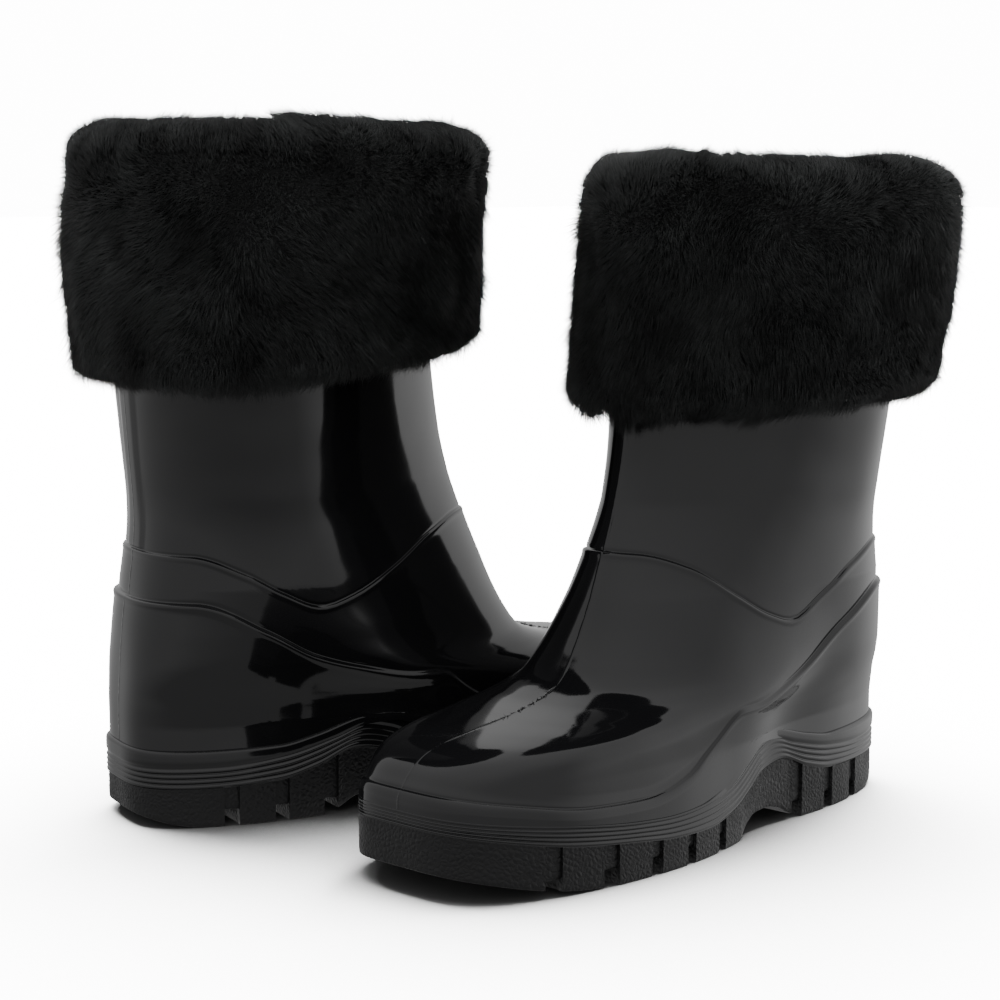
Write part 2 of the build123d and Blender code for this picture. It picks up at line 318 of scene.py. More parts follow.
def sole_pvc():
    material, nodes, links, shader = new_material(
        "sole_pvc", Base_Color=(0.008, 0.008, 0.0085, 1), Roughness=0.42, IOR=1.5,
        Specular_IOR_Level=0.30)
    where = position(nodes)
    cells = nodes.new("ShaderNodeTexVoronoi")
    cells.feature = "DISTANCE_TO_EDGE"
    cells.inputs["Scale"].default_value = 620
    links.new(where, cells.inputs["Vector"])
    wear = noise(nodes, links, where, 90, 4, 0.6)
    links.new(ramp(nodes, links, wear, (0.005, 0.005, 0.0054), (0.011, 0.011, 0.0115)),
              shader.inputs["Base Color"])
    links.new(ranged(nodes, links, wear, 0.34, 0.55), shader.inputs["Roughness"])
    bumps(nodes, links, shader, [
        (cells.outputs["Distance"], 0.8, 0.0005),
        (noise(nodes, links, where, 1500, 3), 0.12, 0.0002)])
    return material


def cloth(name, colour, pale, rib, roughness=0.85):
    """A knit or woven cloth: ribs one way, courses across, and fuzz."""
    material, nodes, links, shader = new_material(
        name, Base_Color=(*colour, 1), Roughness=roughness, Sheen_Weight=0.35,
        Sheen_Roughness=0.5)
    where = position(nodes)
    fuzz = noise(nodes, links, where, 900, 3, 0.7)
    links.new(ramp(nodes, links, fuzz, colour, pale, 0.35, 0.7), shader.inputs["Base Color"])
    weave = []
    for direction in ("X", "Z"):
        wave = nodes.new("ShaderNodeTexWave")
        wave.bands_direction = direction
        wave.inputs["Scale"].default_value = rib
        wave.inputs["Distortion"].default_value = 0.6
        links.new(where, wave.inputs["Vector"])
        weave.append((wave.outputs["Fac"], 0.4, 0.0003))
    bumps(nodes, links, shader, [*weave, (fuzz, 0.3, 0.0002)])
    return material


def fur_strand():
    material, nodes, links, shader = new_material(
        "fur_strand", Base_Color=(0.006, 0.0065, 0.0065, 1), Roughness=0.42, IOR=1.5,
        Specular_IOR_Level=0.42)
    where = position(nodes)
    tuft = noise(nodes, links, where, 45, 3, 0.6)
    links.new(ramp(nodes, links, tuft, (0.006, 0.0068, 0.0067), (0.055, 0.059, 0.058), 0.3, 0.74),
              shader.inputs["Base Color"])
    return material


def foam(name, colour, pale):
    material, nodes, links, shader = new_material(name, Base_Color=(*colour, 1), Roughness=0.8)
    where = position(nodes)
    speckle = noise(nodes, links, where, 700, 3, 0.7)
    links.new(ramp(nodes, links, speckle, colour, pale, 0.35, 0.7), shader.inputs["Base Color"])
    bumps(nodes, links, shader, [(speckle, 0.3, 0.0003)])
    return material


GLOSS = gloss_pvc("shell_pvc", 0.0)
WELT = gloss_pvc("welt_pvc", 0.03)
SOLE = sole_pvc()
LINING = cloth("knit_lining", (0.012, 0.012, 0.013), (0.035, 0.035, 0.037), 260)
COVER = cloth("footbed_cloth", (0.02, 0.02, 0.021), (0.05, 0.05, 0.052), 400)
GROUND_CLOTH = cloth("fur_ground_cloth", (0.008, 0.008, 0.0085), (0.02, 0.02, 0.021), 350)
TAPE = cloth("hem_tape", (0.010, 0.010, 0.011), (0.03, 0.03, 0.032), 500, 0.7)
STRAND = fur_strand()
# the fur's own black, made darker than the hairs as painted shade deep in the pile, so the gaps
# between tufts read dark
SHADED_FUR_CORE = foam("fur_core_shade", (0.003, 0.0033, 0.0033), (0.006, 0.0063, 0.0064))
FOAM = foam("footbed_foam", (0.06, 0.06, 0.063), (0.11, 0.11, 0.115))
BOARD = foam("insole_board", (0.20, 0.16, 0.11), (0.34, 0.29, 0.22))
CORE = foam("heel_core", (0.03, 0.03, 0.03), (0.06, 0.06, 0.06))


# ---- the shell --------------------------------------------------------------------------------
def turns():
    """Angles round a slice, crowded at both tips where the moulding seams run."""
    half = np.linspace(0, math.pi, 130)
    fine = np.array([0.0018, 0.0042, 0.0075, 0.012])
    half = np.unique(np.concatenate([half, fine, math.pi - fine]))
    return np.concatenate([half, 2 * math.pi - half[-2:0:-1]])


# Where a column that starts at an angle round the foot ends up round the shaft, so that columns
# climb the sides upright and only those of the forefoot run back over the vamp.
CLIMB = [(0, 0), (0.5, 0.62), (1.137, 1.444), (1.347, 1.858), (1.571, 2.10), (1.762, 2.288),
         (2.06, 2.543), (2.369, 2.768), (2.60, 2.92), (2.9, 3.045), (math.pi, math.pi)]


def climbed(turn, height):
    """The angle at height of the column that starts from turn at the foot."""
    folded = np.where(turn > math.pi, 2 * math.pi - turn, turn)
    raised = smooth(CLIMB, folded)
    share = (FRONT[0][1] - smooth(FRONT, height)) / (FRONT[0][1] - FRONT[-1][1])
    angle = folded + (raised - folded) * share
    return np.where(turn > math.pi, 2 * math.pi - angle, angle)


def on_boot(line, side, share):
    """A ledge line as it lies on one of the boots, which were not moulded quite alike."""
    return [(x + VALLEY[side] * share * float(bell(x, 62, 42)),
             z - DIP[side] * share * float(step(34, 66, x))) for x, z in line]


def crossings(heights, xs, line, length):
    """How far up each column it first rises over a side-view line."""
    gap = heights[:, None] - smooth(line, xs)
    first = np.maximum(np.argmax(gap > 0, axis=0), 1)
    columns = np.arange(xs.shape[1])
    before, after = gap[first - 1, columns], gap[first, columns]
    share = np.clip(before / (before - after), 0, 1)
    start = length[first - 1, columns]
    return start + (length[first, columns] - start) * share


def shell_grid(side):
    """Points of the outer skin with rows laid along both ledges, and what each row knows."""
    turn = turns()
    heights = np.concatenate([np.linspace(10, 60, 900), np.linspace(60.1, RIM_HEIGHT, 700)])
    x, y = slice_at(heights[:, None], climbed(turn[None, :], heights[:, None]))
    z = np.broadcast_to(heights[:, None], x.shape)
    path = np.stack([x, y, z], axis=2)
    length = np.concatenate([np.zeros((1, len(turn))),
                             np.cumsum(np.linalg.norm(np.diff(path, axis=0), axis=2), axis=0)])
    lines = {"foot": [(a, b - 3.0) for a, b in BAND_TOP],
             "counter": on_boot(COUNTER_LEDGE, side, 0.55),
             "ankle": on_boot(ANKLE_LEDGE, side, 1.0)}
    marks = {name: crossings(heights, x, line, length) for name, line in lines.items()}
    near = np.array([0.12, 0.3, 0.5, 0.75, 1.1, 1.6, 2.3])
    counts = {"counter": 44, "ankle": 96, "rim": 80}
    rows = [marks["foot"]]
    start = marks["foot"]
    for name in ("counter", "ankle"):
        mark = marks[name]
        room = np.clip((mark - start) / 6, 0.2, 1.0)
        low = mark - near[-1] * room
        for share in np.linspace(0, 1, counts[name])[1:]:
            rows.append(start + (low - start) * share)
        rows += [mark - gap * room for gap in near[-2::-1]]
        rows.append(mark)
        rows += [mark + gap for gap in near]
        start = mark + near[-1]
    for share in np.linspace(0, 1, counts["rim"])[1:]:
        rows.append(start + (length[-1] - start) * share)
    rows = np.array(rows)
    grid = np.empty((*rows.shape, 3))
    for c in range(len(turn)):
        for axis in range(3):
            grid[:, c, axis] = np.interp(rows[:, c], length[:, c], path[:, c, axis])
    return turn, rows, marks, grid


def shell_relief(turn, rows, marks, grid):
    """How far the skin stands out from its smooth form: ledges, back strip and seam flash."""
    x, y, z = grid[..., 0], grid[..., 1], grid[..., 2]
    heel_side = np.cos(turn)[None, :] > 0
    to_counter = rows - marks["counter"]
    to_ankle = rows - marks["ankle"]
    # the counter stands proud below its ledge, most at the heel, hardly at all on the toe
    proud = smooth([(-8, 1.25), (40, 1.2), (75, 0.95), (100, 0.7), (125, 0.42), (150, 0.3),
                    (214, 0.26)], x)
    spread = 0.6 * step(6, 36, -to_counter) * step(150, 60, x) * (z > 20)
    out = (proud + spread) * step(0.55, -0.45, to_counter)
    out += 0.28 * proud * bell(to_counter, -1.0, 0.8) - 0.12 * proud * bell(to_counter, 0.6, 0.5)
    crease = step(118, 150, x)
    out -= 0.40 * crease * bell(to_counter, 0.1, 0.30)
    out += 1.7 * step(100, 132, x) * step(3.2, -3.2, to_counter)
    out += 0.45 * step(150, 185, x) * step(60, 44, z)
    out += 3.4 * bell(x, 92, 21) * step(58, 34, z)
    # the ankle ledge
    shin = step(100, 118, x)
    out += (0.55 - 0.12 * shin) * step(0.45, -0.4, to_ankle) * step(-46, -10, to_ankle)
    out += 0.22 * bell(to_ankle, -0.9, 0.7) - (0.20 + 0.12 * shin) * bell(to_ankle, 0.5, 0.4)
    # the raised strip up the back of the shaft
    strip = heel_side * step(5.9, 5.1, np.abs(y)) * step(0.5, 1.3, to_ankle)
    out += 0.55 * strip
    # the soft skin is never quite true
    out += 0.10 * waves(turn[None, :], z / 14, 5) * step(40, 60, z)
    # flash left by the mould, down the back and along the front
    flash = bell(y, slice_at(z, np.where(heel_side, 0.0, math.pi))[1], 0.22)
    ragged = 0.6 + 0.4 * np.sin(z * 1.7 + 2.0 * np.sin(z * 0.6))
    out += flash * np.where(heel_side, 0.10, 0.16) * ragged
    return out


def build_shell(side):
    turn, rows, marks, grid = shell_grid(side)
    lift = shell_relief(turn, rows, marks, grid)
    outer = grid + normals(grid) * lift[..., None]
    rim = outer[-1]
    middle = rim.mean(axis=0)
    edge = RIM_HEIGHT - 0.75
    lip = []
    for inward, up in ((0.25, 0.45), (0.9, 0.75), (1.6, 0.45), (2.0, -0.2), (2.0, -6), (2.0, -60)):
        reach = 1 - inward / np.linalg.norm((rim - middle)[:, :2], axis=1)
        loop = middle + (rim - middle) * reach[:, None]
        loop[:, 2] = edge + up
        if up < -1:
            xs, ys = slice_at(loop[:, 2], climbed(turn, loop[:, 2]))
            direction = np.stack([xs, ys], axis=1) - middle[:2]
            long = np.linalg.norm(direction, axis=1)
            loop[:, :2] = middle[:2] + direction * (1 - inward / long)[:, None]
        lip.append(loop)
    outer[-1, :, 2] = edge
    points = np.concatenate([outer, np.array(lip)])
    faces = grid_faces(len(points), points.shape[1])
    piece("shell_skin", points, faces, side, "boot", GLOSS, ["upper"])


# ---- the sole ---------------------------------------------------------------------------------
def grain(x, y, z, size):
    """Leather-like pebbling: a few crossed waves that never line up."""
    a = np.sin(x * 6.1 / size + 2.1 * np.sin(z * 3.3 / size + y)) * np.cos(z * 5.3 / size + 1.7)
    b = np.sin(x * 3.7 / size - z * 4.9 / size + 1.3 * np.sin(y * 2.9 / size))
    c = np.cos((x + z) * 7.9 / size + 2.0 * np.sin(x * 1.9 / size))
    return (a + 0.7 * b + 0.5 * c) / 2.2


def sole_stations():
    """Shared x stations for both sides of the sole, doubled at every groove's edges."""
    tip = np.array([0.0, 0.02, 0.06, 0.13, 0.25, 0.42, 0.65, 1.0, 1.5, 2.1, 2.9, 3.8, 4.8])
    low, high = BACK[0][1], FRONT[0][1]
    xs = [low + tip, high - tip, np.arange(low + 5.5, high - 5.0, 0.55)]
    for start, end in GROOVES:
        for edge in (start, end):
            xs.append(np.array([edge - 0.08, edge + 0.08]))
    xs = np.sort(np.concatenate(xs))
    keep = np.concatenate([[True], np.diff(xs) > 0.012])
    return xs[keep]


def build_sole(side):
    xs = sole_stations()
    low, high = BACK[0][1], FRONT[0][1]
    along = np.clip(1 - 2 * (xs - low) / (high - low), -1, 1)
    rise = np.arcsin(np.clip((1 - along**2) ** (0.55 / 2), 0, 1))
    turn = np.where(along >= 0, rise, math.pi - rise)
    turn = np.concatenate([turn, 2 * math.pi - turn[-2:0:-1]])
    bx, by = slice_at(np.zeros_like(turn), turn)
    outline = np.stack([bx, by], axis=1)
    tangent = np.roll(outline, -1, axis=0) - np.roll(outline, 1, axis=0)
    tangent /= np.linalg.norm(tangent, axis=1, keepdims=True)
    out_dir = np.stack([-tangent[:, 1], tangent[:, 0]], axis=1)
    if (out_dir * (outline - outline.mean(axis=0))).sum() < 0:
        out_dir = -out_dir
    count = len(turn)
    in_groove = np.zeros(count, bool)
    for start, end in GROOVES:
        in_groove |= (bx > start) & (bx < end)
    ground = smooth(GROUND, bx)
    bottom = np.where(in_groove, np.maximum(ground, GROOVE_DEPTH), ground)
    tread, ridge, band = (smooth(line, bx) for line in (TREAD_TOP, RIDGE_TOP, BAND_TOP))
    waist = step(WAIST_PANEL[0] - 1, WAIST_PANEL[0] + 1, bx) * step(
        WAIST_PANEL[1] + 1, WAIST_PANEL[1] - 1, bx)
    recess = in_groove.astype(float)
    face_out = 2.4 - 1.0 * recess - 0.25 * waist
    fore = step(96, 116, bx)
    levels, outs = [], []

    def row(height, reach):
        levels.append(np.broadcast_to(height, (count,)).astype(float))
        outs.append(np.broadcast_to(reach, (count,)).astype(float))

    row(bottom, face_out - 3.0)
    row(bottom, face_out - 0.9)
    row(bottom + 0.12, face_out - 0.35)
    row(bottom + 0.45, face_out - 0.08)
    for share in np.linspace(0, 1, 26)[1:]:
        height = bottom + 0.9 + (tread - 0.5 - bottom - 0.9) * share
        pebble = grain(bx, by, height, 1.35) * (1 - recess) * (1 - waist)
        row(height, face_out + 0.16 * pebble * step(0, 0.1, share) * step(1, 0.92, share))
    row(tread - 0.2, face_out + 0.1)
    seam = len(levels)
    row(tread, 2.40)
    # four rounded ridges, closing up over the arch
    ridges = 4
    converge = 1 - 0.75 * bell(bx, 80, 15)
    per_ridge = 8
    for i in range(1, ridges * per_ridge + 1):
        swell = (0.5 - 0.5 * np.cos(2 * math.pi * i / per_ridge)) ** 0.7
        row(tread + (ridge - tread) * i / (ridges * per_ridge),
            2.35 - 0.15 * fore + (0.62 - 0.17 * fore) * converge * swell)
    # the plain band over them, rounded into the shell
    above = np.maximum(band - ridge, 0.7)
    proud = 3.05 - 0.45 * fore
    row(ridge + 0.12 * above, proud - 0.3)
    row(ridge + 0.22 * above, proud - 0.1)
    for share in (0.35, 0.5, 0.62, 0.72):
        row(ridge + share * above, proud)
    row(ridge + 0.80 * above, proud - 0.02)
    row(ridge + 0.88 * above, proud - 0.15)
    row(ridge + 0.94 * above, proud - 0.45)
    row(ridge + above, proud - 0.95)
    row(ridge + above + 0.05, 0.8)
    row(ridge + above - 1.0, -0.6)
    levels, outs = np.array(levels), np.array(outs)
    wall = np.empty((*levels.shape, 3))
    wall[..., :2] = outline[None] + out_dir[None] * outs[..., None]
    wall[..., 2] = levels
    # the underside: a strip of quads from one side's wall to the other's at every station
    n = len(xs)
    left = np.arange(n)
    right = np.concatenate([[0], count - np.arange(1, n - 1), [n - 1]])
    across = 13
    under = np.empty((n, across, 3))
    for k, share in enumerate(np.linspace(0, 1, across)):
        under[:, k] = wall[0, left] * (1 - share) + wall[0, right] * share
    tread_wall = wall[: seam + 1]
    points = np.concatenate([tread_wall.reshape(-1, 3), under.reshape(-1, 3)])
    faces = [grid_faces(len(tread_wall), count),
             grid_faces(n, across, wrap=False, first=len(tread_wall) * count)]
    piece("tread_skin", points, np.concatenate(faces), side, "boot", SOLE,
          ["outsole"], sharp=50)
    welt = wall[seam:]
    piece("welt_band", welt, grid_faces(len(welt), count), side, "boot", WELT)


# ---- the fur cuff -----------------------------------------------------------------------------
def rim_outline(back, front, half, egg, turn):
    """A level outline of the shaft's form, with its own reach and roundness."""
    x, y = slice_at(np.full_like(turn, RIM_HEIGHT), turn, back, front, half, egg)
    return np.stack([x, y], axis=-1)


def cuff_rings(turn, side):
    """Level outlines that the cuff is built between: the pile's tips and roots, in and out."""
    top_back, low_back = float(smooth(BACK, RIM_HEIGHT)), float(smooth(BACK, CUFF_BOTTOM))
    top_front, low_front = float(smooth(FRONT, RIM_HEIGHT)), float(smooth(FRONT, CUFF_BOTTOM))
    half, low_half = HALF_WIDTH[-1][1], float(smooth(HALF_WIDTH, CUFF_BOTTOM))
    deep, inside, egg = 2.8, SLEEVE_WALL + 1, FUR_EGG[side]
    return {
        "pile": rim_outline(top_back - PILE_DEPTH + FUR_BACK[side],
                            low_front + PILE_DEPTH + FUR_FRONT[side], half + PILE_DEPTH, egg, turn),
        "hang": rim_outline(top_back - deep, low_front + deep, half + deep, CLOTH_EGG, turn),
        "sleeve": rim_outline(low_back + inside, top_front - inside, low_half - inside, CLOTH_EGG,
                              turn),
        "throat": rim_outline(low_back + inside + 13, top_front - inside - 16,
                              low_half - inside - 12, egg, turn),
    }


def cuff_surface(turn, v, side, depth):
    """The cuff's skin at depth 0 (against the cloth) to 1 (the pile's tips). v runs from the
    hanging hem (0) round its lip, up the outside, over the fold and down the inside (1)."""
    rings = cuff_rings(turn, side)
    rise = CUFF_RISE[side]
    seed = 11 if side == "left" else 23
    outer = rings["hang"] + (rings["pile"] - rings["hang"]) * depth[..., None]
    inner = rings["sleeve"] + (rings["throat"] - rings["sleeve"]) * depth[..., None]
    lump = waves(turn, v * 7, seed) * depth
    sway = waves(turn, v * 0, seed + 1, 5)
    tilt = np.cos(turn - HIGH_SIDE[side])
    shoulder = 4.0 + 9.0 * depth
    fold = RIM_HEIGHT + rise + CREST[side] - (1 - depth) * 11.0 - shoulder
    fold = fold + (2.6 * sway + 5.0 * tilt) * depth
    lip = 2.0 + 6.0 * depth
    hem = CUFF_BOTTOM + rise + 14.0 - lip + 1.8 * waves(turn, v * 0, seed + 2, 6) * depth
    hem = hem - HEM_TILT[side] * np.cos(turn) - 2.5 * tilt
    under = np.clip(v / LIP_END, 0, 1) * math.pi / 2
    wall = np.clip((v - LIP_END) / (WALL_END - LIP_END), 0, 1)
    over = np.clip((v - WALL_END) / (FOLD_END - WALL_END), 0, 1)
    angle = math.pi * over
    down = np.clip((v - FOLD_END) / (1 - FOLD_END), 0, 1)
    hung = rings["hang"] + (outer - rings["hang"]) * np.sin(under)[..., None]
    middle, spread = (outer + inner) / 2, (outer - inner) / 2
    xy = np.where((v < WALL_END)[..., None], hung, middle + spread * np.cos(angle)[..., None])
    z = hem + lip * (1 - np.cos(under))
    z = z + (fold - z) * wall
    z = np.where(v > WALL_END, fold + shoulder * np.sin(angle), z)
    z = np.where(v > FOLD_END, fold - 46 * down, z)
    # lumps in the pile, and the whole cuff hanging a little askew
    way = xy - rings["hang"].mean(axis=tuple(range(xy.ndim - 1)))
    way = way / np.maximum(np.linalg.norm(way, axis=-1, keepdims=True), 1e-6)
    swell = (1.6 * np.sin(math.pi * wall) - 0.6) * depth * (v < WALL_END)
    knob = 1.3 * waves(turn * 3, v * 16, seed + 5) * depth
    swell = swell + np.where(v < FOLD_END, 3.4 * lump + 1.2 * knob, -0.8 * lump)
    swell = swell + FLARE * wall * (1 - over) * depth
    xy = xy + way * swell[..., None]
    xy[..., 0] -= CUFF_LEAN[side] * (z - LEAN_PIVOT) * depth
    return np.concatenate([xy, z[..., None]], axis=-1)


def build_cuff_core(side):
    turn = np.linspace(0, 2 * math.pi, 181)[:-1]
    v = np.linspace(0, 1, 130)
    a, b = np.broadcast_arrays(turn[None, :], v[:, None])
    # a dark sheet at mid-depth of the pile: the fur's own black with painted shade between the
    # tufts
    points = cuff_surface(a, b, side, np.full(a.shape, 0.45))
    piece("fur_core_shade", points, grid_faces(*a.shape), side, "cuff", SHADED_FUR_CORE,
          ["cuff_fur"])


def on_cylinder(turn, v):
    """Rough millimetres over the pile, so that tufts are cells of one size."""
    return np.stack([np.cos(turn) * 58, np.sin(turn) * 58, v * 190], axis=1)


def strands(side, count, seed, guard):
    """Roots, bends and tips of the pile: combed in one flowing field, then drawn into tufts."""
    rng = np.random.default_rng(seed)
    turn = rng.uniform(0, 2 * math.pi, count)
    zone = rng.choice(4, count, p=[0.11, 0.42, 0.34, 0.13])
    edges = np.array([0.0, LIP_END, WALL_END, FOLD_END, HAIR_END])
    v = edges[zone] + (edges[zone + 1] - edges[zone]) * rng.uniform(0, 1, count)
    little = 1e-3
    root = cuff_surface(turn, v, side, np.full(count, 0.42))
    skin = cuff_surface(turn, v, side, np.ones(count))
    du = cuff_surface(turn + little, v, side, np.ones(count)) - skin
    dv = cuff_surface(turn, v + little, side, np.ones(count)) - skin
    du /= np.linalg.norm(du, axis=1, keepdims=True)
    dv /= np.maximum(np.linalg.norm(dv, axis=1, keepdims=True), 1e-9)
    out = np.cross(dv, du)
    out /= np.maximum(np.linalg.norm(out, axis=1, keepdims=True), 1e-9)
    # which way the pile is brushed: down the outside, up over the fold, in swirls throughout
    field = 31 if side == "left" else 47
    swirl = waves(turn, v * 7, field) + 0.45 * waves(turn * 4, v * 26, field + 3)
    lay = waves(turn, v * 6, field + 1) + 0.45 * waves(turn * 4, v * 26, field + 4)
    down = -0.75 + 1.1 * step(0.30, 0.50, v) + 0.45 * lay
    comb = dv * down[:, None] + du * (0.70 * swirl)[:, None]
    spread = np.random.default_rng(field + 2)
    tuft_turn = spread.uniform(0, 2 * math.pi, TUFTS)
    tuft_v = spread.uniform(0, HAIR_END, TUFTS)
    near = nearest(on_cylinder(turn, v), on_cylinder(tuft_turn, tuft_v))
    comb = comb + spread.normal(0, 0.07, (TUFTS, 3))[near]
    comb = comb + rng.normal(0, 0.13 if guard else 0.10, (count, 3))
    long = rng.uniform(0.88, 1.05, count) * np.where(v < WALL_END, 9.6, 8.6)
    long *= 1.05 if guard else 0.95
    long *= 1 + 0.05 * spread.normal(0, 1, TUFTS)[near]
    bend = root + (out * 0.62 + comb * 0.22) * (long * 0.48)[:, None]
    tip = root + (out * 0.52 + comb * 0.80) * long[:, None]
    middle = np.zeros((TUFTS, 3))
    number = np.bincount(near, minlength=TUFTS)
    for axis in range(3):
        middle[:, axis] = np.bincount(near, tip[:, axis], TUFTS) / np.maximum(number, 1)
    pull = rng.uniform(0.0, 0.16, count)[:, None]
    tip = tip + (middle[near] - tip) * pull
    return root, bend, tip


def nearest(points, centres):
    """Index of the centre nearest to each point."""
    tree = KDTree(len(centres))
    for i, centre in enumerate(centres):
        tree.insert(centre, i)
    tree.balance()
    return np.array([tree.find(point)[1] for point in points])


def hairs(rings, tip, thick, rng):
    """Closed three-sided hairs through the rings' centres to a point."""
    way = tip - rings[0]
    way /= np.linalg.norm(way, axis=1, keepdims=True)
    u = np.cross(way, rng.normal(0, 1, way.shape))
    u /= np.linalg.norm(u, axis=1, keepdims=True)
    w = np.cross(way, u)
    corners = []
    for level, middle in enumerate(rings):
        for k in range(3):
            angle = 2 * math.pi * k / 3
            across = (u * math.cos(angle) + w * math.sin(angle)) * thick[:, None]
            corners.append(middle + across * (1 - 0.15 * level))
    verts = np.stack([*corners, tip], axis=1)
    last = len(corners)
    tris = [[0, 2, 1]]
    for k in range(3):
        n = (k + 1) % 3
        if len(rings) > 1:
            tris += [[k, n, 3 + n], [k, 3 + n, 3 + k]]
        tris.append([last - 3 + k, last - 3 + n, last])
    faces = np.arange(len(tip))[:, None, None] * (last + 1) + np.array(tris)[None]
    return verts.reshape(-1, 3), faces.reshape(-1, 3)


def build_pile(side, part, count, seed, guard):
    """Bent guard hairs, or the plainer, denser undercoat."""
    root, bend, tip = strands(side, count, seed, guard)
    rng = np.random.default_rng(seed + 99)
    rings = [root, bend] if guard else [root * 0.3 + bend * 0.7]
    verts, faces = hairs(rings, tip, rng.uniform(0.07, 0.12, count), rng)
    name = "fur_guard" if guard else "fur_under"
    piece(f"{name}_{part}", verts, faces, side, "cuff", STRAND)


# ---- cloth inside: lining, footbed cover, the cuff's ground cloth and tapes -------------------
def closed(name, rows, side, body, material, replaces):
    """A tube-like piece whose section is the loop of rows."""
    points = np.array([*rows, rows[0]])
    piece(name, points, grid_faces(*points.shape[:2]), side, body, material,
          replaces, sharp=40)


def build_lining(side):
    """The knitted sock against the shell, ribbed up and down."""
    turn = np.linspace(0, 2 * math.pi, 901)[:-1]
    heights = np.concatenate([np.linspace(14, 44, 42), np.linspace(45.5, RIM_HEIGHT - 1, 90)])
    x, y = slice_at(heights[:, None], climbed(turn[None, :], heights[:, None]))
    grid = np.stack([x, y, np.broadcast_to(heights[:, None], x.shape)], axis=2)
    way = normals(grid)
    rib = 0.11 * np.sin(150 * turn)[None, :] + 0.04 * np.sin(heights * 2.1)[:, None]
    # its two faces lie 2.5 and 3.5 mm inside the shell's outer skin
    inner = grid - way * (3.5 - rib)[..., None]
    outer = grid - way * 2.5
    closed("sock_lining", [*inner, *outer[::-1]], side, "boot", LINING,
           ["knit_lining"])


def build_footbed_cover(side):
    """Cloth over the footbed, with a row of stitches inside its edge."""
    turn = np.linspace(0, 2 * math.pi, 721)[:-1]
    x, y = slice_at(np.zeros_like(turn), turn)
    edge = np.stack([x, y], axis=1)
    tangent = np.roll(edge, -1, axis=0) - np.roll(edge, 1, axis=0)
    tangent /= np.linalg.norm(tangent, axis=1, keepdims=True)
    way = np.stack([tangent[:, 1], -tangent[:, 0]], axis=1)
    if (way * (edge - edge.mean(axis=0))).sum() < 0:
        way = -way
    along = np.cumsum(np.linalg.norm(np.roll(edge, -1, axis=0) - edge, axis=1))
    spine = np.stack([x, (y + y[-np.arange(len(turn))]) / 2], axis=1)
    border = 3.95  # from the sole's edge in to the cover's
    low, high = 6.15, 7.65  # its faces over the shell's floor
    rows = []

    def row(inset, up, share=0.0):
        xy = edge - way * (border + inset)
        xy = xy + (spine - xy) * share
        xy[:, 0] = np.clip(xy[:, 0], BACK[0][1] + border, FRONT[0][1] - border)
        rows.append(np.column_stack([xy, smooth(FLOOR, xy[:, 0]) + up]))

    row(8, low, 1.0)
    row(0, low)
    row(0, high - 0.45)
    for inset in (0.35, 1.5, 3.0, 3.6):
        row(inset, high)
    row(4.0, high - 0.35 * (np.sin(along * 2 * math.pi / 3.2) > -0.2))
    for inset in (4.4, 5.5, 8.0):
        row(inset, high)
    for share in (0.25, 0.5, 0.75, 1.0):
        row(8, high, share)
    closed("footbed_cloth", rows, side, "boot", COVER, ["footbed_cover"])


def cuff_wall(kind, grow):
    """Outline of the cloth: hanging outside the shaft, or the sleeve inside it."""
    turn = np.linspace(0, 2 * math.pi, 961)[:-1]
    if kind == "outside":
        back, front, half = smooth(BACK, RIM_HEIGHT), smooth(FRONT, CUFF_BOTTOM), HALF_WIDTH[-1][1]
    else:
        back = smooth(BACK, CUFF_BOTTOM) + SLEEVE_WALL
        front = smooth(FRONT, RIM_HEIGHT) - SLEEVE_WALL
        half = smooth(HALF_WIDTH, CUFF_BOTTOM) - SLEEVE_WALL
    grow = grow + np.zeros_like(turn)
    return turn, rim_outline(float(back) - grow, float(front) + grow, float(half) + grow,
                             SHAFT_EGG, turn)


def build_ground_cloth(side):
    """The fur's knitted backing: down the outside, over the rim and down inside."""
    foot = CUFF_BOTTOM + CUFF_RISE[side] + HEM_LIFT
    fold = RIM_HEIGHT + 0.5 + CUFF_RISE[side]
    turn = cuff_wall("outside", 0)[0]
    rib = 0.06 * np.sin(turn * 160)
    rows = []

    def row(kind, grow, height):
        xy = cuff_wall(kind, grow)[1]
        rows.append(np.column_stack([xy, np.full(len(xy), height)]))

    for height in np.linspace(foot, fold + 0.6, 46):
        row("outside", OUTER_GAP + BACKING + rib, height)
    row("outside", OUTER_GAP + BACKING - 0.4, fold + BACKING)
    row("sleeve", 0.4 - BACKING, fold + BACKING)
    for height in np.linspace(fold + 0.6, foot, 46):
        row("sleeve", rib - BACKING, height)
    for height in (foot, fold):
        row("sleeve", 0, height)
    for height in (fold, foot):
        row("outside", OUTER_GAP, height)
    closed("ground_cloth", rows, side, "cuff", GROUND_CLOTH, ["cuff_backing"])


def build_tape(side, kind, inner, outer, name, node):
    """A woven binding tape with two rows of stitches."""
    foot = CUFF_BOTTOM + CUFF_RISE[side] + HEM_LIFT
    turn = cuff_wall(kind, 0)[0]
    dash = np.sin(turn * 110) > -0.3
    rows = []
    for up in np.arange(0, HEM_HEIGHT + 0.01, 0.4):
        stitched = bell(up, 1.6, 0.35) + bell(up, HEM_HEIGHT - 1.6, 0.35)
        xy = cuff_wall(kind, inner + 0.14 * stitched * dash)[1]
        rows.append(np.column_stack([xy, np.full(len(xy), foot + up)]))
    for up in (HEM_HEIGHT, 0):
        xy = cuff_wall(kind, outer)[1]
        rows.append(np.column_stack([xy, np.full(len(xy), foot + up)]))
    closed(name, rows, side, "cuff", TAPE, [node])


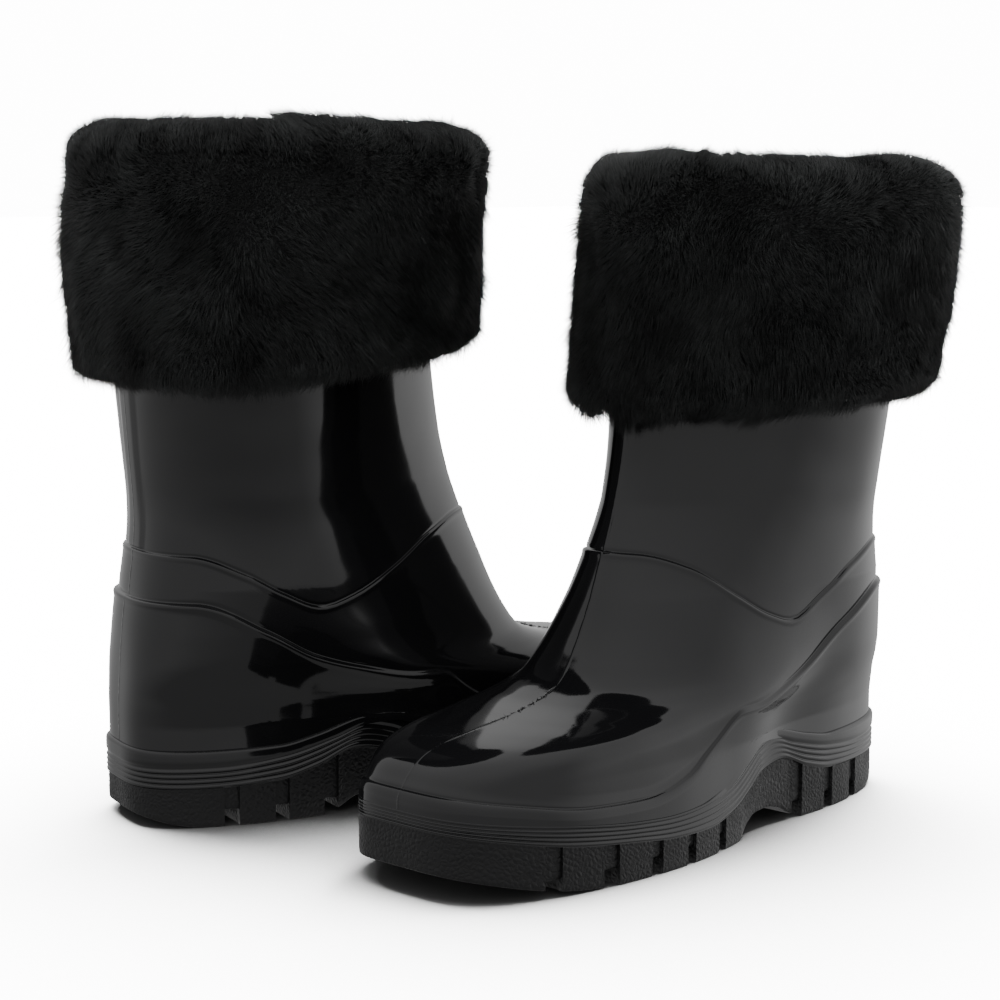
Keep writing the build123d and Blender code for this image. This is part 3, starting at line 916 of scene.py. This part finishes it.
def build_flash(side):
    """Torn whiskers of mould flash along the seam on the vamp."""
    rng = np.random.default_rng(61 if side == "left" else 62)
    count = 150
    first, run = 146, 50  # where along the vamp they start, and for how far
    heights = np.linspace(35, 60, 500)
    fronts = smooth(FRONT, heights)
    x = first + run * rng.uniform(0, 1, count)
    z = np.interp(x, fronts[::-1], heights[::-1])
    y = slice_at(z, np.full(count, math.pi))[1]
    root = np.column_stack([x, y + rng.normal(0, 0.12, count), z + 0.1])
    reach = rng.uniform(0.5, 1.7, count)
    tip = root + np.column_stack([rng.normal(0, 0.8, count), rng.normal(0, 0.45, count),
                                  rng.uniform(0.15, 0.5, count)]) * reach[:, None]
    verts, faces = hairs([root], tip, rng.uniform(0.10, 0.22, count), rng)
    piece("seam_flash", verts, faces, side, "boot", WELT)


for boot_side in ("left", "right"):
    build_shell(boot_side)
    build_flash(boot_side)
    build_sole(boot_side)
    build_lining(boot_side)
    build_footbed_cover(boot_side)
    build_ground_cloth(boot_side)
    build_tape(boot_side, "outside", 1.0, 1.8, "hem_tape", "cuff_hem_tape")
    build_tape(boot_side, "sleeve", 0.8, 0.0, "sleeve_tape", "sleeve_hem_tape")
    for node, material in (("insole_board", BOARD), ("footbed", FOAM), ("heel_insert", CORE)):
        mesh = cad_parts[f"{boot_side}_{node}"].data
        mesh.materials.clear()
        mesh.materials.append(material)
    build_cuff_core(boot_side)
    for guard, (strand_count, pieces) in ((False, UNDERCOAT), (True, GUARD_HAIR)):
        for part in range(pieces):
            build_pile(boot_side, part, strand_count, 1000 * guard + 100 * part
                       + (7 if boot_side == "left" else 8), guard)


# ---- floor, light and camera ------------------------------------------------------------------
def floor():
    """White paper with a soft shade where it meets the boots, lit by a sun of its own."""
    mesh = bpy.data.meshes.new("floor")
    reach = 6.0
    corners = [(-reach, -reach, 0), (reach, -reach, 0), (reach, reach, 0), (-reach, reach, 0)]
    mesh.from_pydata(corners, [], [(0, 1, 2, 3)])
    obj = bpy.data.objects.new("floor", mesh)
    bpy.context.scene.collection.objects.link(obj)
    material, nodes, links, shader = new_material(
        "floor_paper", Base_Color=(0.86, 0.86, 0.86, 1), Roughness=0.9)
    # painted contact shadow: ambient occlusion darkens the paper's own colour near the boots
    openness = nodes.new("ShaderNodeAmbientOcclusion")
    openness.inputs["Distance"].default_value = 0.12
    links.new(ranged(nodes, links, openness.outputs["AO"], 0.08, 0.86, 0.34, 0.97),
              shader.inputs["Base Color"])
    mesh.materials.append(material)
    obj.visible_glossy = False
    obj.visible_diffuse = False
    receivers = bpy.data.collections.new("paper_only")
    receivers.objects.link(obj)
    data = bpy.data.lights.new("overhead_bank", "SUN")
    data.energy = 67
    data.angle = math.radians(72)
    bank = bpy.data.objects.new("overhead_bank", data)
    bank.rotation_euler = (math.radians(-34), 0, math.radians(-38))
    bpy.context.scene.collection.objects.link(bank)
    bank.light_linking.receiver_collection = receivers


def studio_world():
    """A white tent, brightest overhead and towards +X, dimmer near the table. The camera itself
    sees it as bright as the paper."""
    base = 0.68
    lobes = (((0.952, -0.308, 0), 0.66, 0.6), ((0, 0, 1), 0.34, 0))  # direction, gain, cosine
    world = bpy.data.worlds.new("studio")
    bpy.context.scene.world = world
    world.use_nodes = True
    nodes, links = world.node_tree.nodes, world.node_tree.links
    where = nodes.new("ShaderNodeTexCoord").outputs["Generated"]
    total = None
    for direction, gain, cosine in lobes:
        toward = nodes.new("ShaderNodeVectorMath")
        toward.operation = "DOT_PRODUCT"
        toward.inputs[1].default_value = direction
        links.new(where, toward.inputs[0])
        add = nodes.new("ShaderNodeMath")
        add.operation = "ADD"
        links.new(ranged(nodes, links, toward.outputs["Value"], 0, gain, cosine, 1, "SMOOTHSTEP"),
                  add.inputs[0])
        if total:
            links.new(total, add.inputs[1])
        else:
            add.inputs[1].default_value = base
        total = add.outputs["Value"]
    height = nodes.new("ShaderNodeSeparateXYZ")
    links.new(where, height.inputs["Vector"])
    strength = nodes.new("ShaderNodeMath")
    strength.operation = "MULTIPLY"
    links.new(total, strength.inputs[0])
    links.new(ranged(nodes, links, height.outputs["Z"], 0.6, 1.0, -0.42, -0.16),
              strength.inputs[1])
    sky = nodes["Background"]
    sky.inputs["Color"].default_value = (1, 1, 1, 1)
    links.new(strength.outputs["Value"], sky.inputs["Strength"])
    paper = nodes.new("ShaderNodeBackground")
    paper.inputs["Strength"].default_value = 18.0
    seen = nodes.new("ShaderNodeLightPath")
    choose = nodes.new("ShaderNodeMixShader")
    links.new(seen.outputs["Is Camera Ray"], choose.inputs["Fac"])
    links.new(sky.outputs["Background"], choose.inputs[1])
    links.new(paper.outputs["Background"], choose.inputs[2])
    links.new(choose.outputs["Shader"], nodes["World Output"].inputs["Surface"])


floor()
studio_world()

CAMERA_AT = (-489.4, -633.7 + PAIR_SHIFT_Y, 212.1)
CAMERA_DOWN = 8.156
CAMERA_TURN = -37.925
CAMERA_LENS = 89.5
camera_data = bpy.data.cameras.new("camera")
camera_data.lens = CAMERA_LENS
camera_data.sensor_width = 36
camera = bpy.data.objects.new("camera", camera_data)
camera.location = [value / 1000 for value in CAMERA_AT]
camera.rotation_euler = (math.radians(90 - CAMERA_DOWN), 0, math.radians(CAMERA_TURN))
bpy.context.scene.collection.objects.link(camera)
bpy.context.scene.camera = camera
